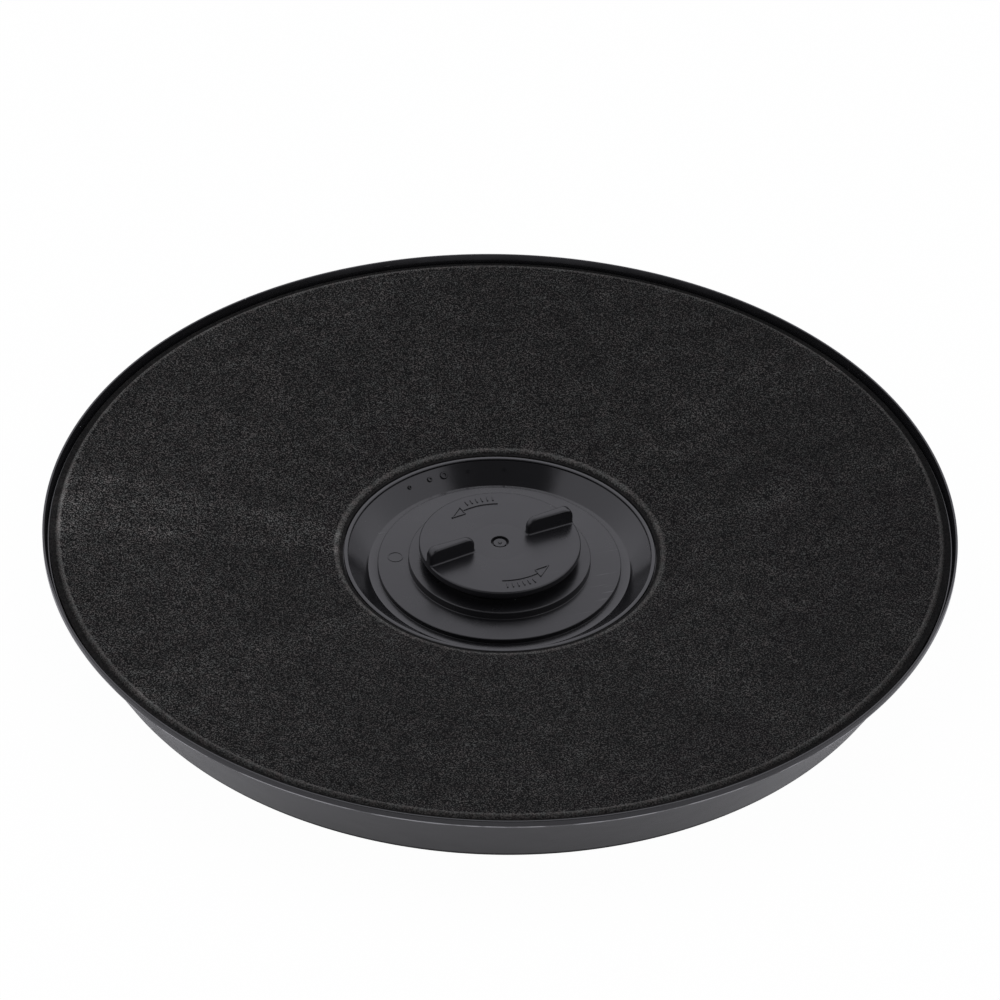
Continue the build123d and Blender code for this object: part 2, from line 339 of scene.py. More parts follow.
class Nodes:
    """A short way to build a node tree. A value is a socket or a plain number or colour."""

    def __init__(self, tree):
        self.tree = tree

    def add(self, kind):
        return self.tree.nodes.new(kind)

    def link(self, value, socket):
        if isinstance(value, bpy.types.NodeSocket):
            self.tree.links.new(value, socket)
        else:
            socket.default_value = value

    def math(self, operation, a, b=0.0, clamp=False):
        node = self.add("ShaderNodeMath")
        node.operation = operation
        node.use_clamp = clamp
        self.link(a, node.inputs[0])
        self.link(b, node.inputs[1])
        return node.outputs[0]

    def chain(self, operation, first, *others):
        """One operation over several values, from left to right."""
        for value in others:
            first = self.math(operation, first, value)
        return first

    def times(self, *values):
        return self.chain("MULTIPLY", *values)

    def plus(self, *values):
        return self.chain("ADD", *values)

    def swing(self, value, middle, size):
        """How far a value stands from its middle, times size."""
        return self.times(self.math("SUBTRACT", value, middle), size)

    def remap(self, value, low, high, to_low=0.0, to_high=1.0, ease="LINEAR"):
        node = self.add("ShaderNodeMapRange")
        node.interpolation_type = ease
        self.link(value, node.inputs["Value"])
        node.inputs["From Min"].default_value = low
        node.inputs["From Max"].default_value = high
        node.inputs["To Min"].default_value = to_low
        node.inputs["To Max"].default_value = to_high
        return node.outputs[0]

    def split(self, place):
        """East, north and up of a place."""
        node = self.add("ShaderNodeSeparateXYZ")
        self.link(place, node.inputs[0])
        return node.outputs

    def mixed_shaders(self, share, first, second):
        node = self.add("ShaderNodeMixShader")
        for value, socket in zip((share, first, second), node.inputs):
            self.link(value, socket)
        return node.outputs[0]


class Surface(Nodes):
    """The nodes of a material whose pattern is fixed to the object."""

    def __init__(self, name):
        self.material = bpy.data.materials.new(name)
        self.material.use_nodes = True
        super().__init__(self.material.node_tree)
        self.shader = self.tree.nodes["Principled BSDF"]
        self.place = self.add("ShaderNodeTexCoord").outputs["Object"]

    def set(self, name, value):
        self.link(value, self.shader.inputs[name])

    def noise(self, size_mm, detail=2.0, stretch=(1, 1, 1), turn=0.0, roughness=0.5):
        """Noise whose features are about size_mm across."""
        mapping = self.add("ShaderNodeMapping")
        mapping.vector_type = "TEXTURE"
        mapping.inputs["Scale"].default_value = stretch
        mapping.inputs["Rotation"].default_value = (0, 0, math.radians(turn))
        self.link(self.place, mapping.inputs["Vector"])
        node = self.add("ShaderNodeTexNoise")
        node.inputs["Scale"].default_value = 1 / (size_mm * MM)
        node.inputs["Detail"].default_value = detail
        node.inputs["Roughness"].default_value = roughness
        self.link(mapping.outputs[0], node.inputs["Vector"])
        return node.outputs["Fac"]

    def cells(self, size_mm):
        """Distance to the nearest of scattered points, and a random number for each point."""
        node = self.add("ShaderNodeTexVoronoi")
        node.inputs["Scale"].default_value = 1 / (size_mm * MM)
        self.link(self.place, node.inputs["Vector"])
        colour = self.add("ShaderNodeSeparateColor")
        self.link(node.outputs["Color"], colour.inputs[0])
        return node.outputs["Distance"], colour.outputs[0]

    def from_axis(self):
        """Distance from the axis in millimetres, east and north in metres, height in millimetres."""
        east, north, up = self.split(self.place)
        squares = self.plus(self.times(east, east), self.times(north, north))
        radius = self.math("DIVIDE", self.math("SQRT", squares), MM)
        return radius, east, north, self.math("DIVIDE", up, MM)

    def mix(self, share, first, second):
        """Two colours, mixed."""
        node = self.add("ShaderNodeMix")
        node.data_type = "RGBA"
        self.link(share, node.inputs[0])
        self.link(first, node.inputs[6])
        self.link(second, node.inputs[7])
        return node.outputs[2]

    def scaled(self, colour, factor):
        """A colour times a number that varies over the surface."""
        node = self.add("ShaderNodeVectorMath")
        node.operation = "SCALE"
        self.link(colour, node.inputs[0])
        self.link(factor, node.inputs["Scale"])
        return node.outputs[0]

    def bump(self, rise, distance_mm, strength=1.0, under=None):
        node = self.add("ShaderNodeBump")
        node.inputs["Distance"].default_value = distance_mm * MM
        node.inputs["Strength"].default_value = strength
        self.link(rise, node.inputs["Height"])
        if under is not None:
            self.link(under, node.inputs["Normal"])
        return node.outputs[0]


# Materials

# Height of the painted highlight line along the lip's lower outer edge
HIGHLIGHT_LINE = 0.65
# Pale grey of the scuffs and specks, and of the painted highlight along the lip
SCUFF_AND_HIGHLIGHT_GREY = (0.30, 0.30, 0.30, 1)

# Streaks of the felt: angle in degrees, half-width in degrees, strength
STREAKS = (
    (28.7, 1.6, 0.9), (38.8, 2.0, 0.7), (45.9, 2.0, 0.7), (82.2, 1.8, 0.4), (135.2, 2.0, 0.8),
    (183.0, 3.0, 1.0), (239.7, 1.8, 0.35), (283.3, 1.6, 0.35), (333.8, 0.5, 0.9), (341.2, 1.8, 0.5),
)
# Broad soft sweeps of the nap, given the same way
SWEEPS = ((15.0, 5.0, 0.6), (45.0, 12.0, 0.5), (176.0, 9.0, 1.0), (220.0, 7.0, 0.5), (315.0, 7.0, 0.4))
FELT_WARM = (0.0077, 0.0071, 0.0065, 1)
FELT_COOL = (0.0071, 0.0073, 0.0067, 1)


def moulded_plastic(name, colour, floor_roughness, roughness, grain_mm, scuffs):
    """Black moulded plastic: fine grain, uneven gloss, scuffs, pale specks, a painted highlight along the
    lip's lower edge and painted shade along the foot.
    """
    n = Surface(name)
    radius, _, _, up = n.from_axis()
    patches = n.noise(14, 3)
    scratches = n.remap(n.noise(1.2, 2, stretch=(14, 0.5, 1), turn=18), 0.68, 0.74)
    rubbed = n.remap(n.noise(22, 4), 0.55, 0.72)
    worn = n.times(scratches, rubbed, scuffs)
    distance, chance = n.cells(5.0)
    speck = n.times(n.remap(distance, 0.045, 0.03), n.remap(chance, 0.86, 0.89), scuffs)
    highlight_top = lip_bottom + HIGHLIGHT_LINE
    # Painted highlight: a pale line along the lip's lower outer edge, where the light catches it
    painted_lip_highlight = n.times(
        n.remap(up, highlight_top, highlight_top - 0.1),
        n.remap(radius, rim_r - 0.7, rim_r - 0.5),
        n.remap(up, lip_bottom - 0.1, lip_bottom),
        n.remap(n.noise(9, 4), 0.42, 0.60, 0.3, 1.3),
    )
    pale = n.chain("MAXIMUM", speck, n.times(worn, 0.25), painted_lip_highlight)
    shade = n.scaled(colour, n.remap(patches, 0.3, 0.7, 0.9, 1.1))
    n.set("Base Color", n.mix(pale, shade, SCUFF_AND_HIGHLIGHT_GREY))
    gloss = n.remap(radius, STEP_R + 0.2, WELL_R, floor_roughness, roughness)
    gloss = n.times(gloss, n.remap(patches, 0.3, 0.7, 0.88, 1.12))
    n.set("Roughness", n.math("ADD", gloss, n.times(worn, 0.25), clamp=True))
    waviness = n.bump(n.noise(12, 2), 0.10)
    n.set("Normal", n.bump(n.noise(grain_mm, 2), 0.02, 0.25, under=waviness))
    # Painted shade: less shine on the foot face and the wall just above it, for a dark line where the casing
    # meets the floor
    painted_foot_shade = n.times(
        n.remap(up, FOOT_FACE + 0.9, FOOT_FACE + 0.6),
        n.remap(radius, base_r - 1.0, base_r - 0.6),
    )
    shine = n.math("SUBTRACT", 0.5, n.times(painted_foot_shade, 0.38))
    n.set("Specular IOR Level", n.times(shine, n.remap(radius, STEP_R + 0.2, WELL_R, 0.9, 1.0)))
    n.set("IOR", 1.5)
    return n.material


def felt_material():
    """Charcoal needled fleece: fine pale fibres, soft mottling, radial streaks, painted highlights on the
    crests and painted shade toward the east side.
    """
    n = Surface("needled_felt")
    fine = n.noise(0.40, 0)
    strand = n.chain("MAXIMUM", *[n.noise(0.5, 1, stretch=(6, 0.5, 1), turn=t) for t in (12, 70, 128)])
    mottle = n.noise(7, 4)
    cloud = n.noise(48, 3)
    radius, east, north, _ = n.from_axis()
    turn = n.math("DIVIDE", n.math("ARCTAN2", north, east), 2 * math.pi)
    turn = n.math("FRACT", n.plus(turn, 1.0))
    around = n.plus(turn, n.swing(n.noise(30, 2), 0.5, 0.02))

    def radial(marks):
        """Brightness round the ring, from (angle, half-width, strength) marks."""
        ramp = n.add("ShaderNodeValToRGB")
        stops = ramp.color_ramp.elements
        for end, position in zip(stops, (0.0, 1.0)):
            end.position = position
            end.color = (0, 0, 0, 1)
        for angle, half, strength in marks:
            for offset, level in ((-half, 0.0), (0, strength), (half, 0.0)):
                stop = stops.new(((angle + offset) % 360) / 360)
                stop.color = (level, level, level, 1)
        n.link(around, ramp.inputs[0])
        return ramp.outputs[0]

    def near_ring(where, half):
        away = n.math("ABSOLUTE", n.math("SUBTRACT", radius, where))
        return n.remap(away, half, 0.45 * half)

    broken = n.remap(n.noise(18, 3), 0.35, 0.65)
    ragged = n.remap(n.noise(9, 4, stretch=(2.5, 0.8, 1)), 0.38, 0.62, 0.2, 1.3)
    streak = n.plus(n.times(radial(STREAKS), broken), n.times(radial(SWEEPS), ragged))
    # Painted highlight: pale rings along the outer and inner crests, where the ridges catch the light; the
    # texture is calmer there too
    crest = n.math("MAXIMUM", near_ring(OUTER_CREST_R, 1.0), near_ring(INNER_CREST_R, 1.1))
    outer_margin = n.remap(radius, outer_press - 0.1, outer_press + 0.4)
    inner_margin = n.remap(radius, inner_press + 0.15, inner_press - 0.35)
    margin = n.math("MAXIMUM", outer_margin, inner_margin)
    calm = n.math("SUBTRACT", 1.0, n.times(n.math("MAXIMUM", crest, margin), 0.72))
    lift = n.plus(n.times(streak, 0.6), n.times(crest, 1.8), n.times(margin, -0.15))
    level = n.plus(n.swing(fine, 0.5, 12.0), n.swing(strand, 0.6, 5.5))
    level = n.math("MINIMUM", level, 1.9)
    level = n.times(n.plus(level, n.swing(mottle, 0.5, 1.2)), calm)
    # The east term is painted shade: the felt darkens toward the east, the right side seen from the front
    level = n.plus(level, n.swing(cloud, 0.5, 0.7), n.times(east, -2.3), lift)
    tint = n.mix(n.remap(n.noise(2.4, 2), 0.35, 0.65), FELT_WARM, FELT_COOL)
    n.set("Base Color", n.scaled(tint, n.math("POWER", math.e, level)))
    n.set("Roughness", 0.95)
    n.set("Specular IOR Level", 0.15)
    n.set("Normal", n.bump(n.plus(n.times(fine, 0.5), n.times(strand, 0.5)), 0.25, 0.6))
    return n.material


def pellet_material():
    """Matt black extruded carbon with a dusty, pitted skin."""
    n = Surface("carbon_pellets")
    pits = n.noise(0.35, 4, roughness=0.65)
    dust = n.noise(3.0, 3)
    n.set("Base Color", n.scaled((0.011, 0.011, 0.0115), n.remap(dust, 0.3, 0.7, 0.7, 1.6)))
    n.set("Roughness", n.remap(pits, 0.3, 0.7, 0.55, 0.85))
    n.set("Normal", n.bump(pits, 0.12, 0.7))
    return n.material


casing_look = moulded_plastic(
    "casing_plastic", colour=(0.0055, 0.0055, 0.0060),
    floor_roughness=0.28, roughness=0.16, grain_mm=0.5, scuffs=1.0,
)
grip_look = moulded_plastic(
    "grip_plastic", colour=(0.0068, 0.0068, 0.0076),
    floor_roughness=0.30, roughness=0.30, grain_mm=0.35, scuffs=0.35,
)
felt_look = felt_material()
pellet_look = pellet_material()


# Casing: outer shell and hub turned from their sections, slotted plate between them

def casing_shell():
    """The side wall with its foot and lip."""
    bm = bmesh.new()
    shell = filleted([
        (plate_out, FOOT_HEIGHT, 0),
        (base_r - FOOT_WIDTH, FOOT_HEIGHT, 0.3),
        (base_r - FOOT_WIDTH, 0, 0.4),
        (base_r, 0, 0.2),
        (base_r, FOOT_FACE, 0.1),
        (base_r + wall_slope * FOOT_FACE, FOOT_FACE, 0.1),
        (wall_top_r, lip_bottom, 0.25),
        (rim_r, lip_bottom, 0.45),
        (rim_r, height, 0.25),
        (rim_r - LIP_TOP_WIDTH, height, 0.15),
        (rim_r - LIP_WIDTH, outer_land, 0),
        (outer_land_r, outer_land, 0.2),
        (wall_inside(grille_top), grille_top, 0.3),
        (plate_out, grille_top, 0),
    ])
    revolved(bm, shell, segments=420)
    return piece("casing_shell", bm, "filter", casing_look)


def casing_hub():
    """The well with its bead, ledge, floor disc and plinth, cut by the keyway and the stop slots."""
    bm = bmesh.new()
    hub = filleted([
        (plate_in, grille_top, 0),
        (hub_outside(grille_top), grille_top, 0.3),
        (inner_land_r, INNER_LAND, 0.2),
        (BEAD_OUTER_R, INNER_LAND, 0),
        (BEAD_OUTER_R - BEAD_OUTER_LEAN, BEAD_TOP, 0.3),
        (MOUTH_R + BEAD_INNER_LEAN, BEAD_TOP, 0.3),
        (MOUTH_R, INNER_LAND, 0.15),
        (WELL_R, LEDGE, 0.3),
        (STEP_R, LEDGE, 0.12),
        (STEP_R, STEP_TOP, 0.3),
        (PLINTH_R, STEP_TOP, 0.2),
        (PLINTH_R, PLINTH_TOP, 0.3),
        (BORE_R, PLINTH_TOP, 0.2),
        (BORE_R, step_underside, 0.2),
        (BORE_R + SLEEVE_WALL, step_underside, 0.2),
        (BORE_R + SLEEVE_WALL, plinth_underside, 0.2),
        (PLINTH_R - FLOOR, plinth_underside, 0.2),
        (PLINTH_R - FLOOR, step_underside, 0.2),
        (STEP_R - FLOOR, step_underside, 0.2),
        (STEP_R - FLOOR, LEDGE - FLOOR, 0.2),
        (WELL_R, LEDGE - FLOOR, 0.3),
        (WELL_R, FOOT_HEIGHT, 0.2),
        (plate_in, FOOT_HEIGHT, 0),
    ])
    revolved(bm, hub, segments=300)
    obj = piece("casing_hub", bm, "filter", casing_look)
    cutters = bmesh.new()
    reach = LUG_R + KEYWAY_CLEARANCE
    keyway = filleted(oblong(-reach, reach, LUG_WIDTH / 2 + KEYWAY_CLEARANCE, 1))
    prism(cutters, keyway, step_underside - 2, PLINTH_TOP + 2, turn=KEYWAY_ANGLE)
    start = WING_ANGLE + 90 - STOP_PLAY
    end = start + TURN + 2 * STOP_PLAY
    half = TAB_THICKNESS / 2 + STOP_CLEARANCE
    stop = arc(TAB_R + half, start, end, 24) + arc(TAB_R - half, end, start, 24)
    for turn in (0, 180):
        prism(cutters, stop, plinth_underside - 1, PLINTH_TOP + 1, turn=turn)
    cut(obj, cutters)


def casing_marks():
    """Small moulded marks on the side of the well and one ring mark on its floor."""
    bm = bmesh.new()
    run = MOUTH_R - WELL_R
    climb = INNER_LAND - LEDGE
    slope = math.atan2(climb, run)
    along = Vector((math.cos(slope), 0, math.sin(slope)))
    across = Vector((0, 1, 0))
    out = Vector((-math.sin(slope), 0, math.cos(slope)))
    centre = Vector((WELL_R + run * WELL_MARK_SHARE, 0, LEDGE + climb * WELL_MARK_SHARE))
    for azimuth, size in WELL_MARKS:
        spin = Matrix.Rotation(math.radians(azimuth), 3, "Z")
        rings = []
        for reach, rise in ((1.2, -0.05), (1.15, 0.35), (0.95, 0.55), (0.65, 0.55), (0.5, 0.03)):
            rings.append([
                spin @ (centre + (along * x + across * y) * size * reach + out * rise)
                for x, y in circle(1, 20)
            ])
        lofted(bm, rings)
    mark = Vector((*RING_MARK, 0))
    rings = []
    for reach, rise in ((2.3, -0.05), (2.25, 0.12), (2.0, 0.12), (1.95, -0.02)):
        rings.append([mark + Vector((x, y, STEP_TOP + rise)) for x, y in circle(reach, 40)])
    lofted(bm, rings, cap_last=False)
    piece("casing_marks", bm, "filter", casing_look)


def casing_plate():
    """The back grille, with its rings of radial slots."""
    bm = bmesh.new()
    plate = [
        (plate_in, FOOT_HEIGHT), (plate_out, FOOT_HEIGHT),
        (plate_out, grille_top), (plate_in, grille_top),
    ]
    revolved(bm, plate, segments=252)
    obj = piece("casing_grille", bm, "filter", casing_look)
    cutters = bmesh.new()
    rings = len(SLOTS_PER_BAY)
    length = (slots_outer_r - slots_inner_r - SLOT_RING_GAP * (rings - 1)) / rings
    for ring, per_bay in enumerate(SLOTS_PER_BAY):
        inner = slots_inner_r + ring * (length + SLOT_RING_GAP)
        slot = filleted(oblong(inner, inner + length, SLOT_WIDTH / 2, SLOT_ROUND), 3)
        for i in range(WEB_COUNT * per_bay):
            turn = WEB_ANGLE + (i + 0.5) * bay / per_bay
            prism(cutters, slot, FOOT_HEIGHT - 1, grille_top + 1, turn=turn)
    cut(obj, cutters)


def casing_webs():
    """The webs between the bays, which end inside the wall and the hub."""
    bm = bmesh.new()
    inner = inner_land_r - hub_across / 3
    outer = outer_land_r + wall_across / 3
    half = WEB_THICKNESS / 2
    side = [
        (hub_outside(grille_top), grille_top), (wall_inside(grille_top), grille_top),
        (outer, felt_underside(outer) - WEB_CLEARANCE), (inner, felt_underside(inner) - WEB_CLEARANCE),
    ]
    for i in range(WEB_COUNT):
        spin = Matrix.Rotation(math.radians(WEB_ANGLE + i * bay), 3, "Z")
        lofted(bm, [[spin @ Vector((r, y, z)) for r, z in side] for y in (-half, half)])
    piece("casing_webs", bm, "filter", casing_look)


# Felt

def felt_height(r):
    """Height of the felt's upper face, with the crests beside its pressed margins."""
    top = felt_underside(r) + FELT
    top -= OUTER_THINNING * math.exp(-((felt_outer_r - r) / THINNING_REACH) ** 2)
    top -= INNER_THINNING * math.exp(-((r - felt_inner_r) / THINNING_REACH) ** 2)
    for crest in (OUTER_CREST_R, INNER_CREST_R):
        top += CREST_RISE * math.exp(-((r - crest) / CREST_SPREAD) ** 2)
    for land, past in ((outer_land, r - outer_press), (INNER_LAND, inner_press - r)):
        share = min(1.0, max(0.0, (past + PRESS_BLEND) / (2 * PRESS_BLEND)))
        share = share * share * (3 - 2 * share)
        top += (land + PRESSED - top) * share
    return top


def felt_radii():
    """Radii of the felt's rings of points: close over both margins, wider between them."""
    close = 0.2
    margin = 3.6
    wide_steps = 74
    count = int(margin / close)
    inner = [felt_inner_r + FELT_EDGE_ROUND + k * close for k in range(count)]
    end = felt_outer_r - FELT_EDGE_ROUND - margin
    outer = [end + k * close for k in range(count + 1)]
    start = inner[-1]
    between = [start + (end - start) * k / wide_steps for k in range(1, wide_steps)]
    return inner + between + outer


def felt_piece():
    """The fleece: a dished ring, thinner toward its edges, with low crests and soft unevenness."""
    segments = 720
    even_margin = 3.5
    fade = 4.0
    clear_of_land = 0.02
    bm = bmesh.new()
    rows = []
    for r in felt_radii():
        row = []
        uneven = min([1.0] + [
            max(0.0, (gap - even_margin) / fade) for gap in (r - felt_inner_r, felt_outer_r - r)
        ])
        for x, y in circle(r, segments):
            z = felt_height(r)
            for rise, size, layer in FELT_WAVES:
                z += rise * uneven * noise.noise(Vector((x / size, y / size, layer)))
            row.append(bm.verts.new((x * MM, y * MM, z * MM)))
        rows.append(row)
    for r, z in (
        (felt_outer_r, outer_land + PRESSED / 2), (felt_outer_r, outer_land + clear_of_land),
        (outer_land_r, outer_land + clear_of_land), (inner_land_r, INNER_LAND + clear_of_land),
        (felt_inner_r, INNER_LAND + clear_of_land), (felt_inner_r, INNER_LAND + PRESSED / 2),
    ):
        rows.append([bm.verts.new((x * MM, y * MM, z * MM)) for x, y in circle(r, segments)])
    for i, row in enumerate(rows):
        after = rows[(i + 1) % len(rows)]
        for s in range(segments):
            t = (s + 1) % segments
            bm.faces.new((row[s], row[t], after[t], after[s]))
    obj = piece("felt_sheet", bm, "filter", felt_look, sharp=60)
    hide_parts("felt_cover")


# Pellets

def pellet(bm, centre, heading, tilt, length):
    """One short extruded pellet with rounded ends."""
    swung = Matrix.Rotation(heading, 3, "Z") @ Matrix.Rotation(tilt, 3, "Y")
    outlines = []
    for along, share in ((-0.5, 0.72), (-0.42, 1.0), (0.42, 1.0), (0.5, 0.72)):
        outlines.append([
            Vector(centre) + swung @ Vector((along * length, y, z))
            for y, z in circle(PELLET_R * share, 10)
        ])
    lofted(bm, outlines)


def pellet_core(bm, start):
    """The plain middle of the bed in the bay that starts at an angle in degrees."""
    bottom = grille_top + CORE_LIFT
    low_inner = hub_outside(bottom) + 0.5
    low_outer = wall_inside(bottom) - 0.5
    top_inner = inner_land_r + 0.6
    top_outer = outer_land_r - 0.6
    top_z_in = felt_underside(top_inner) - PELLET_GAP
    top_z_out = felt_underside(top_outer) - PELLET_GAP
    outlines = []
    for r_in, r_out, z_in, z_out in (
        (low_inner, low_outer, bottom, bottom),
        (top_inner, top_outer, top_z_in, top_z_out),
    ):
        edge_in = math.degrees(CORE_WEB_GAP / r_in)
        edge_out = math.degrees(CORE_WEB_GAP / r_out)
        far = arc(r_out, start + edge_out, start + bay - edge_out, 24)
        near = arc(r_in, start + bay - edge_in, start + edge_in, 12)
        outlines.append([(x, y, z_out) for x, y in far] + [(x, y, z_in) for x, y in near])
    lofted(bm, outlines)


def pellet_layer(bm, start):
    """Separate pellets on the back grille, in the bay that starts at an angle in degrees."""
    first = math.radians(start)
    last = math.radians(start + bay)
    span = math.radians(bay)
    r = hub_outside(grille_top + 2 * PELLET_R + 1) + 3.4
    while r < wall_inside(grille_top) - PELLET_ROOM:
        count = int(span * r / PELLET_PITCH)
        for k in range(count):
            a = first + (k + 0.5 + rng.uniform(-0.12, 0.12)) * span / count
            place_r = r + rng.uniform(-0.5, 0.5)
            room = (WEB_THICKNESS / 2 + PELLET_ROOM) / place_r
            a = min(max(a, first + room), last - room)
            z = grille_top + PELLET_R + PELLET_GAP + rng.uniform(0, 0.6)
            heading = rng.uniform(0, math.pi)
            length = rng.uniform(*PELLET_LENGTHS)
            tilt = rng.uniform(-0.08, 0.08)
            pellet(bm, (place_r * math.cos(a), place_r * math.sin(a), z), heading, tilt, length)
        r += PELLET_RING_STEP


def pellet_bed(number):
    """One bay's bed: a plain core over a layer of separate pellets."""
    start = WEB_ANGLE + (number - 1) * bay
    bm = bmesh.new()
    pellet_core(bm, start)
    pellet_layer(bm, start)
    obj = piece(f"pellet_bed_{number}", bm, "filter", pellet_look)
    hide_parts(f"carbon_charge_{number}")


# Grip

def grip_body():
    """The disc with its skirt, spindle, the shallow ring dip in its top and the dimple with its pip."""
    edge = disc_underside
    seat = PLINTH_TOP + SEAT_GAP
    head = filleted([
        (0, edge, 0),
        (SPINDLE_R - SPINDLE_WALL, edge, 0.3),
        (SPINDLE_R - SPINDLE_WALL, lug_bottom, 0.25),
        (SPINDLE_R, lug_bottom, 0.25),
        (SPINDLE_R, edge, 0.3),
        (SKIRT_R - SKIRT_WALL, edge, 0.3),
        (SKIRT_R - SKIRT_WALL, seat, 0.2),
        (SKIRT_R, seat, 0.2),
        (SKIRT_R, edge, 0.3),
        (grip_r, edge, 0.35),
        (grip_r, grip_top, 0.55),
    ])
    for across, depth in ((1.1, 0), (0.6, 0.012), (0, 0.03), (-0.6, 0.012), (-1.1, 0)):
        head.append((DIP_R + across, grip_top - depth))
    groove_bottom = grip_top - DIMPLE_DEPTH - 0.3
    button_top = grip_top - 0.35
    pip_top = grip_top - 0.15
    head += filleted([
        (DIMPLE_R + 0.6, grip_top, 0),
        (DIMPLE_R + 0.2, grip_top, 0.1),
        (DIMPLE_R + 0.2, groove_bottom, 0),
        (DIMPLE_R - 0.5, groove_bottom, 0),
        (DIMPLE_R - 0.5, button_top, 0.12),
        (PIP_R + 0.2, button_top - 0.1, 0),
        (PIP_R, pip_top, 0.08),
        (0, pip_top, 0),
    ], 4)
    bm = bmesh.new()
    revolved(bm, head, segments=260)
    return piece("grip_body", bm, "grip", grip_look, sharp=45)


def set_back(distance, radius):
    """How far a rounded edge stands back, at a distance from its end."""
    if distance >= radius:
        return 0.0
    return radius - math.sqrt(max(0.0, radius ** 2 - (radius - distance) ** 2))


def wing_outline(z):
    """Plan outline of a wing at height z above the disc."""
    rise = WING_HEIGHT - z
    spread = set_back(z, WING_FOOT_ROUND) - set_back(rise, WING_TOP_ROUND)
    ends = set_back(rise, WING_CORNER)
    near = WING_INNER + 1.1 * ends - max(spread, 0.0)
    far = grip_r - WING_RIM_GAP - 0.9 * ends

    def half(s):
        share = (s - WING_INNER) / (grip_r - WING_INNER)
        return WING_INNER_HALF + (WING_OUTER_HALF - WING_INNER_HALF) * share + spread - WING_DRAFT * z

    round_near = min(0.85, 0.9 * half(near))
    round_far = min(0.8, 0.9 * half(far))
    edge = []
    corner_steps = 6
    for k in range(corner_steps + 1):
        a = math.pi / 2 * k / corner_steps
        s = far - round_far * (1 - math.cos(a))
        edge.append((s, -half(s) + round_far * (1 - math.sin(a))))
    side_steps = 14
    for k in range(1, side_steps):
        s = far - round_far + (near + round_near - far + round_far) * k / side_steps
        edge.append((s, -half(s)))
    corner_steps = 8
    for k in range(corner_steps + 1):
        a = math.pi / 2 * k / corner_steps
        s = near + round_near * (1 - math.sin(a))
        edge.append((s, -half(s) + round_near * (1 - math.cos(a))))
    return edge + [(s, -w) for s, w in reversed(edge)]


def grip_wings():
    """The two upright wings, from a root in the disc to their rounded tops."""
    bm = bmesh.new()
    quarter = math.pi / 2
    heights = [-WING_ROOT]
    heights += [WING_FOOT_ROUND * (1 - math.cos(quarter * k / 5)) for k in range(6)]
    heights += [1.0, 1.6, 2.1]
    heights += [WING_HEIGHT - WING_CORNER * (1 - math.sin(quarter * k / 12)) for k in range(1, 13)]
    for turn in (WING_ANGLE, WING_ANGLE + 180):
        spin = Matrix.Rotation(math.radians(turn), 3, "Z")
        outlines = []
        for h in heights:
            plan = wing_outline(max(h, 0.0))
            outlines.append([spin @ Vector((x, y, grip_top + h)) for x, y in plan])
        lofted(bm, outlines)
    piece("grip_wings", bm, "grip", grip_look, sharp=50)


def stroke(bm, path, width):
    """A raised line on the grip's top, along plan points, narrower at its crest."""
    low = grip_top - MARK_ROOT
    high = grip_top + MARK_RISE
    rings = []
    for i, (x, y) in enumerate(path):
        before = Vector(path[max(i - 1, 0)])
        after = Vector(path[min(i + 1, len(path) - 1)])
        along = (after - before).normalized()
        across = Vector((-along.y, along.x)) * width / 2
        rings.append([
            (x - across.x, y - across.y, low), (x + across.x, y + across.y, low),
            (x + across.x * 0.6, y + across.y * 0.6, high), (x - across.x * 0.6, y - across.y * 0.6, high),
        ])
    lofted(bm, rings)


def grip_marks():
    """Raised arrows that show which way to turn, each with a row of short ticks outside it."""
    shaft = 0.5
    head = 0.45
    bm = bmesh.new()
    for turn in (0, 180):
        stroke(bm, arc(18.0, 93 + turn, 128.5 + turn, 30), shaft)
        tip = polar(17.7, 143.5 + turn)
        outer = polar(19.7, 127.7 + turn)
        inner = polar(16.4, 129.2 + turn)
        for start, end in ((inner, tip), (outer, tip), (outer, inner)):
            stroke(bm, [start, end], head)
        for k in range(6):
            angle = 97 + turn + k * 4.6
            stroke(bm, [polar(19.5, angle), polar(21.2, angle)], shaft)
    piece("grip_marks", bm, "grip", grip_look)


def grip_lugs():
    """The bayonet lugs at the foot of the spindle, and the tabs that run in the stop slots."""
    bm = bmesh.new()
    half = math.degrees(math.asin(LUG_WIDTH / 2 / LUG_R))
    root = SPINDLE_R - SPINDLE_WALL / 2
    lug = [(root, -LUG_WIDTH / 2)] + arc(LUG_R, -half, half, 12) + [(root, LUG_WIDTH / 2)]
    for turn in (WING_ANGLE, WING_ANGLE + 180):
        prism(bm, lug, lug_bottom, lug_bottom + LUG_THICKNESS, turn=turn, soften=0.25)
    tab = filleted(oblong(TAB_R - TAB_THICKNESS / 2, TAB_R + TAB_THICKNESS / 2, TAB_WIDTH / 2))
    for turn in (WING_ANGLE + 90, WING_ANGLE + 270):
        prism(bm, tab, plinth_underside - TAB_REACH, disc_underside + 0.3, turn=turn)
    piece("grip_lugs", bm, "grip", grip_look)


shell = casing_shell()
casing_hub()
casing_marks()
casing_plate()
casing_webs()
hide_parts("casing")
felt_piece()
for number in range(1, WEB_COUNT + 1):
    pellet_bed(number)
grip = grip_body()
grip_wings()
grip_marks()
grip_lugs()
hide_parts("turn_grip")


# Stage: pale floor, soft light from the back and sides, darker from the front and above

